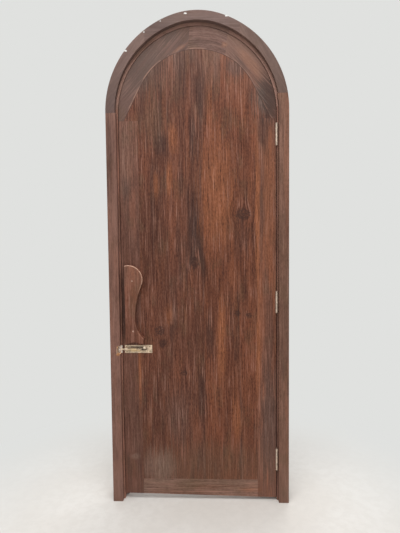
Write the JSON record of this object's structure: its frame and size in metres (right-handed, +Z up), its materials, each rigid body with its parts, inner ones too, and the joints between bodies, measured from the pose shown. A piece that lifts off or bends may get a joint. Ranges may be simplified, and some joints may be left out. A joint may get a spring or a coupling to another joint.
{
  "type": "arched wooden door in its frame",
  "caption": "Round-arched boarded wooden door leaf in a lined and cased frame, on butt hinges, with a wooden pull plate and a slide bolt.",
  "frame": {"origin": "on the floor under the middle of the door's width and depth", "axes": "+Z up; +Y into the wall, away from the side in the picture; +X to the right as seen in the picture"},
  "size_m": [0.828, 0.133, 2.2554],
  "materials": {
    "lining_wood": "thin brown stain over visible grain, worn satin",
    "casing_wood": "thin brown stain, greyer towards the top, worn satin",
    "leaf_wood": "dark walnut stain with orange streaks, worn satin",
    "plank_wood": "dark walnut stain with orange streaks and small knots, worn satin",
    "pull_wood": "walnut stain worn lighter along its edges",
    "dowel_wood": "bare wood",
    "hinge_metal": "dull brass-coloured plating over steel",
    "bolt_metal": "pale brass-coloured plating, slightly tarnished",
    "screw_metal": "plated steel"
  },
  "bodies": {
    "frame": {"jamb_lining_left": "lining_wood", "jamb_lining_right": "lining_wood", "head_lining_left": "lining_wood", "head_lining_crown": "lining_wood", "head_lining_right": "lining_wood", "casing_left": "casing_wood", "casing_right": "casing_wood", "casing_arch_left": "casing_wood", "casing_crown": "casing_wood", "casing_arch_right": "casing_wood", "hinge_bottom_frame_plate": "hinge_metal", "hinge_middle_frame_plate": "hinge_metal", "hinge_top_frame_plate": "hinge_metal", "hinge_bottom_pin": "hinge_metal", "hinge_middle_pin": "hinge_metal", "hinge_top_pin": "hinge_metal", "hinge_frame_screws": "screw_metal", "bolt_keeper": "bolt_metal", "keeper_screws": "screw_metal"},
    "leaf": {"stile_left": "leaf_wood", "stile_right": "leaf_wood", "bottom_rail": "leaf_wood", "arch_rail_left": "leaf_wood", "arch_rail_crown": "leaf_wood", "arch_rail_right": "leaf_wood", "arch_dowels": "dowel_wood", "plank_1": "plank_wood", "plank_2": "plank_wood", "plank_3": "plank_wood", "plank_4": "plank_wood", "plank_5": "plank_wood", "plank_6": "plank_wood", "plank_7": "plank_wood", "hinge_bottom_leaf_plate": "hinge_metal", "hinge_middle_leaf_plate": "hinge_metal", "hinge_top_leaf_plate": "hinge_metal", "hinge_leaf_screws": "screw_metal", "pull_plate": "pull_wood", "pull_screws": "screw_metal", "bolt_plate": "bolt_metal", "bolt_guides": "bolt_metal", "bolt_screws": "screw_metal"},
    "bolt": {"bolt_rod": "bolt_metal", "bolt_knob": "bolt_metal"}
  },
  "joints": [
    {"name": "leaf_swing", "type": "hinge", "parent": "frame", "child": "leaf", "pos_m": [0.36, -0.044, 0.946], "axis": [0, 0, 1], "range_deg": [0, 110]},
    {"name": "bolt_slide", "type": "slide", "parent": "leaf", "child": "bolt", "axis": [1, 0, 0], "range_m": [0, 0.025]}
  ]
}
